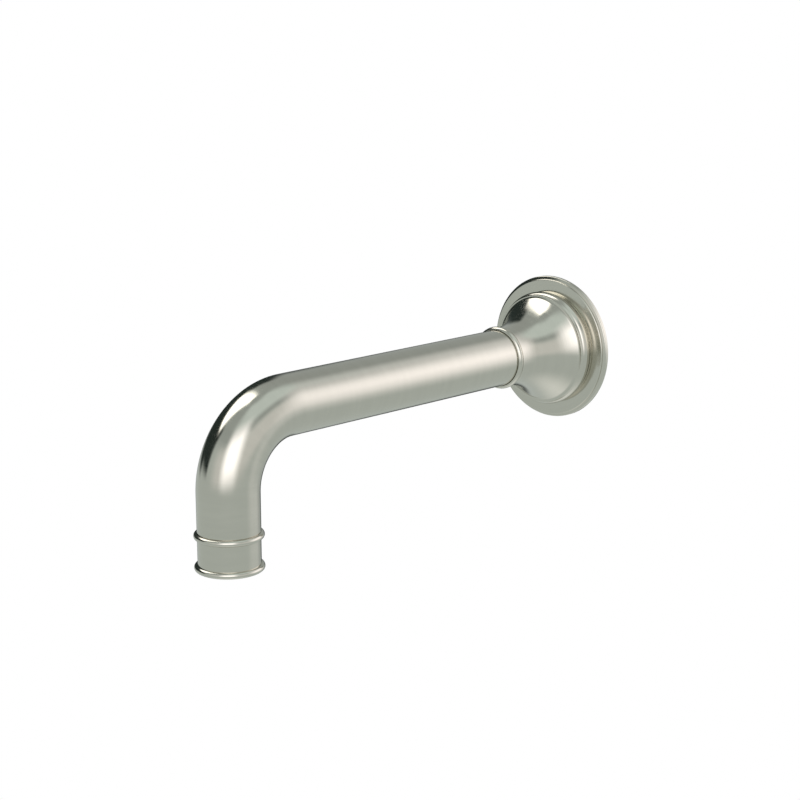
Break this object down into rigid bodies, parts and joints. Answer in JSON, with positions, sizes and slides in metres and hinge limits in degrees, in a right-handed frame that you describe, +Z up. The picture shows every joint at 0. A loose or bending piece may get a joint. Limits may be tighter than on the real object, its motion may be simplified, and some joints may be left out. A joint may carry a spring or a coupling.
{
  "type": "wall mounted bath spout",
  "caption": "Wall mounted bath spout in satin nickel: straight tube with a bend down to a beaded outlet, sliding bell flange on a stepped round wall plate, and a screw-in aerator.",
  "frame": {"origin": "centre of the water inlet's axis in the plane of the finished wall", "axes": "+Y runs into the wall along the inlet, -Y is the way the spout reaches out, +Z is up, +X is to the right seen from the front"},
  "size_m": [0.065, 0.225, 0.0931],
  "materials": {
    "satin_nickel": "satin brushed nickel plating on brass",
    "raw_brass": "turned",
    "black_rubber": "moulded",
    "gasket_foam": "closed-cell foam",
    "screw_steel": "plain stainless",
    "white_plastic": "moulded",
    "grey_plastic": "moulded"
  },
  "bodies": {
    "spout": {"inlet_nipple": "raw_brass", "inlet_washer": "black_rubber", "o_ring_rear": "black_rubber", "o_ring_front": "black_rubber", "inlet_socket": "raw_brass", "grub_screw": "screw_steel", "spout_tube": "satin_nickel", "outlet_collar": "satin_nickel"},
    "flange": {"bell_flange": "satin_nickel", "wall_plate": "satin_nickel", "flange_lock_ring": "raw_brass", "neck_o_ring": "black_rubber", "wall_gasket": "gasket_foam"},
    "aerator_seal": {"aerator_washer": "black_rubber"},
    "aerator": {"aerator_housing": "satin_nickel", "aerator_screen": "white_plastic", "aerator_jet_plate": "grey_plastic", "aerator_mixer": "white_plastic", "aerator_mesh": "screw_steel", "flow_straightener": "grey_plastic"}
  },
  "joints": [
    {"name": "flange_slide", "type": "slide", "parent": "spout", "child": "flange", "axis": [0, -1, 0], "range_m": [0, 0.12]},
    {"name": "aerator_drop", "type": "slide", "parent": "spout", "child": "aerator_seal", "axis": [0, 0, -1], "range_m": [0, 0.00501]},
    {"name": "aerator_turn", "type": "hinge", "parent": "aerator_seal", "child": "aerator", "pos_m": [0, -0.1957, -0.054], "axis": [0, 0, -1], "range_deg": [0, 1800]}
  ],
  "couplings": [
    {"joint": "aerator_drop", "follows": "aerator_turn", "m_per_rad": 0.00015915}
  ]
}
